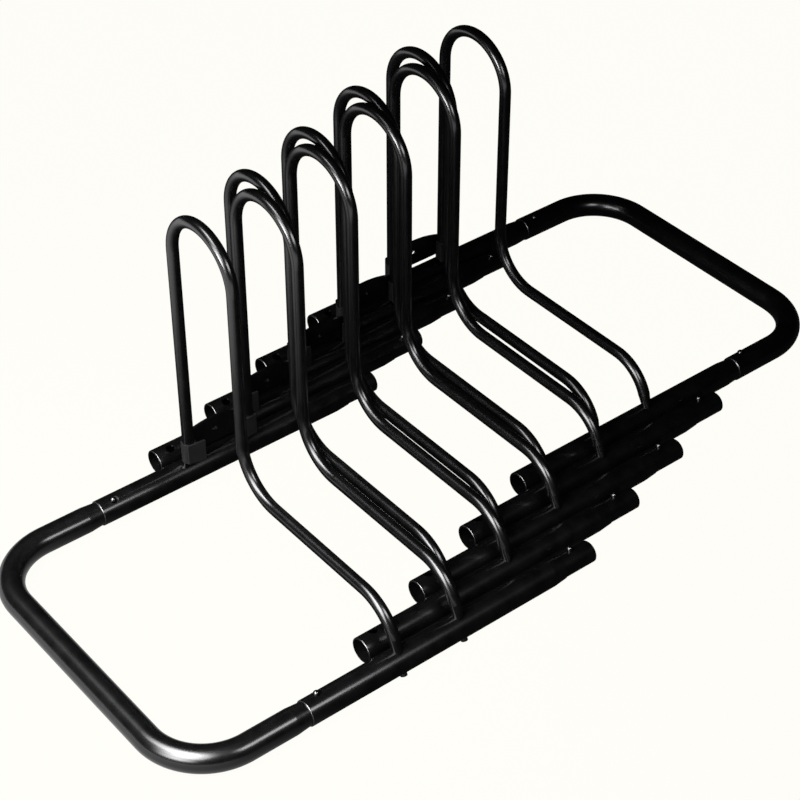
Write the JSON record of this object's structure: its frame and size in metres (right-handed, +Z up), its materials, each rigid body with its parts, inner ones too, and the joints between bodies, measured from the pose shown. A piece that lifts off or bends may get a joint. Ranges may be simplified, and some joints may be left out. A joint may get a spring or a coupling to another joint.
{
  "type": "nesting wheel stand",
  "caption": "Row of nested floor stands with bent-rod wheel hoops on paired tube rails, closed by a push-on end loop on each side.",
  "frame": {"origin": "on the floor under the middle of the whole stand, the centre of its bounding box's base", "axes": "+X along the rails from the left end loop to the right one, +Y from the front rails to the back rails, +Z up"},
  "size_m": [0.883, 0.458, 0.3252],
  "materials": {
    "powder_coat": "satin black powder coat",
    "collar_plastic": "matte moulded black nylon",
    "screw_steel": "black oxide",
    "button_steel": "bright plated",
    "spring_steel": "plain spring steel"
  },
  "bodies": {
    "stand_1": {"front_rail_1": "powder_coat", "back_rail_1": "powder_coat", "left_hoop_1": "powder_coat", "right_hoop_1": "powder_coat", "foot_collars_1": "collar_plastic", "tie_plate_1": "powder_coat", "hoop_screws_1": "screw_steel", "button_springs_1": "spring_steel", "left_loop": "powder_coat", "left_loop_springs": "spring_steel"},
    "stand_2": {"front_rail_2": "powder_coat", "back_rail_2": "powder_coat", "left_hoop_2": "powder_coat", "right_hoop_2": "powder_coat", "foot_collars_2": "collar_plastic", "tie_plate_2": "powder_coat", "hoop_screws_2": "screw_steel", "button_springs_2": "spring_steel"},
    "stand_3": {"front_rail_3": "powder_coat", "back_rail_3": "powder_coat", "left_hoop_3": "powder_coat", "right_hoop_3": "powder_coat", "foot_collars_3": "collar_plastic", "tie_plate_3": "powder_coat", "hoop_screws_3": "screw_steel", "button_springs_3": "spring_steel"},
    "stand_4": {"front_rail_4": "powder_coat", "back_rail_4": "powder_coat", "left_hoop_4": "powder_coat", "right_hoop_4": "powder_coat", "foot_collars_4": "collar_plastic", "tie_plate_4": "powder_coat", "hoop_screws_4": "screw_steel", "button_springs_4": "spring_steel"},
    "stand_5": {"front_rail_5": "powder_coat", "back_rail_5": "powder_coat", "left_hoop_5": "powder_coat", "right_hoop_5": "powder_coat", "foot_collars_5": "collar_plastic", "tie_plate_5": "powder_coat", "hoop_screws_5": "screw_steel", "button_springs_5": "spring_steel", "right_loop": "powder_coat"},
    "front_button_1": {"front_button_1": "button_steel"},
    "back_button_1": {"back_button_1": "button_steel"},
    "front_button_2": {"front_button_2": "button_steel"},
    "back_button_2": {"back_button_2": "button_steel"},
    "front_button_3": {"front_button_3": "button_steel"},
    "back_button_3": {"back_button_3": "button_steel"},
    "front_button_4": {"front_button_4": "button_steel"},
    "back_button_4": {"back_button_4": "button_steel"},
    "front_button_5": {"front_button_5": "button_steel"},
    "back_button_5": {"back_button_5": "button_steel"},
    "left_loop_front_button": {"left_loop_front_button": "button_steel"},
    "left_loop_back_button": {"left_loop_back_button": "button_steel"}
  },
  "joints": [
    {"name": "stand_2_slide", "type": "slide", "parent": "stand_1", "child": "stand_2", "axis": [1, 0, 0], "range_m": [-0.002, 0.06]},
    {"name": "stand_3_slide", "type": "slide", "parent": "stand_2", "child": "stand_3", "axis": [1, 0, 0], "range_m": [-0.002, 0.06]},
    {"name": "stand_4_slide", "type": "slide", "parent": "stand_3", "child": "stand_4", "axis": [1, 0, 0], "range_m": [-0.002, 0.06]},
    {"name": "stand_5_slide", "type": "slide", "parent": "stand_4", "child": "stand_5", "axis": [1, 0, 0], "range_m": [-0.002, 0.06]},
    {"name": "front_button_1_press", "type": "slide", "parent": "stand_1", "child": "front_button_1", "axis": [0, -0.309, -0.9511], "range_m": [0, 0.0046], "stiffness_N_per_m": 400, "springref_m": -0.001, "deforming": ["button_springs_1"]},
    {"name": "back_button_1_press", "type": "slide", "parent": "stand_1", "child": "back_button_1", "axis": [0, 0.309, -0.9511], "range_m": [0, 0.0046], "stiffness_N_per_m": 400, "springref_m": -0.001, "deforming": ["button_springs_1"]},
    {"name": "front_button_2_press", "type": "slide", "parent": "stand_2", "child": "front_button_2", "axis": [0, -0.309, -0.9511], "range_m": [0, 0.0046], "stiffness_N_per_m": 400, "springref_m": -0.001, "deforming": ["button_springs_2"]},
    {"name": "back_button_2_press", "type": "slide", "parent": "stand_2", "child": "back_button_2", "axis": [0, 0.309, -0.9511], "range_m": [0, 0.0046], "stiffness_N_per_m": 400, "springref_m": -0.001, "deforming": ["button_springs_2"]},
    {"name": "front_button_3_press", "type": "slide", "parent": "stand_3", "child": "front_button_3", "axis": [0, -0.309, -0.9511], "range_m": [0, 0.0046], "stiffness_N_per_m": 400, "springref_m": -0.001, "deforming": ["button_springs_3"]},
    {"name": "back_button_3_press", "type": "slide", "parent": "stand_3", "child": "back_button_3", "axis": [0, 0.309, -0.9511], "range_m": [0, 0.0046], "stiffness_N_per_m": 400, "springref_m": -0.001, "deforming": ["button_springs_3"]},
    {"name": "front_button_4_press", "type": "slide", "parent": "stand_4", "child": "front_button_4", "axis": [0, -0.309, -0.9511], "range_m": [0, 0.0046], "stiffness_N_per_m": 400, "springref_m": -0.001, "deforming": ["button_springs_4"]},
    {"name": "back_button_4_press", "type": "slide", "parent": "stand_4", "child": "back_button_4", "axis": [0, 0.309, -0.9511], "range_m": [0, 0.0046], "stiffness_N_per_m": 400, "springref_m": -0.001, "deforming": ["button_springs_4"]},
    {"name": "front_button_5_press", "type": "slide", "parent": "stand_5", "child": "front_button_5", "axis": [0, -0.309, -0.9511], "range_m": [0, 0.0046], "stiffness_N_per_m": 400, "springref_m": -0.001, "deforming": ["button_springs_5"]},
    {"name": "back_button_5_press", "type": "slide", "parent": "stand_5", "child": "back_button_5", "axis": [0, 0.309, -0.9511], "range_m": [0, 0.0046], "stiffness_N_per_m": 400, "springref_m": -0.001, "deforming": ["button_springs_5"]},
    {"name": "left_loop_front_button_press", "type": "slide", "parent": "stand_1", "child": "left_loop_front_button", "axis": [0, -0.309, -0.9511], "range_m": [0, 0.0046], "stiffness_N_per_m": 400, "springref_m": -0.001, "deforming": ["left_loop_springs"]},
    {"name": "left_loop_back_button_press", "type": "slide", "parent": "stand_1", "child": "left_loop_back_button", "axis": [0, 0.309, -0.9511], "range_m": [0, 0.0046], "stiffness_N_per_m": 400, "springref_m": -0.001, "deforming": ["left_loop_springs"]}
  ]
}
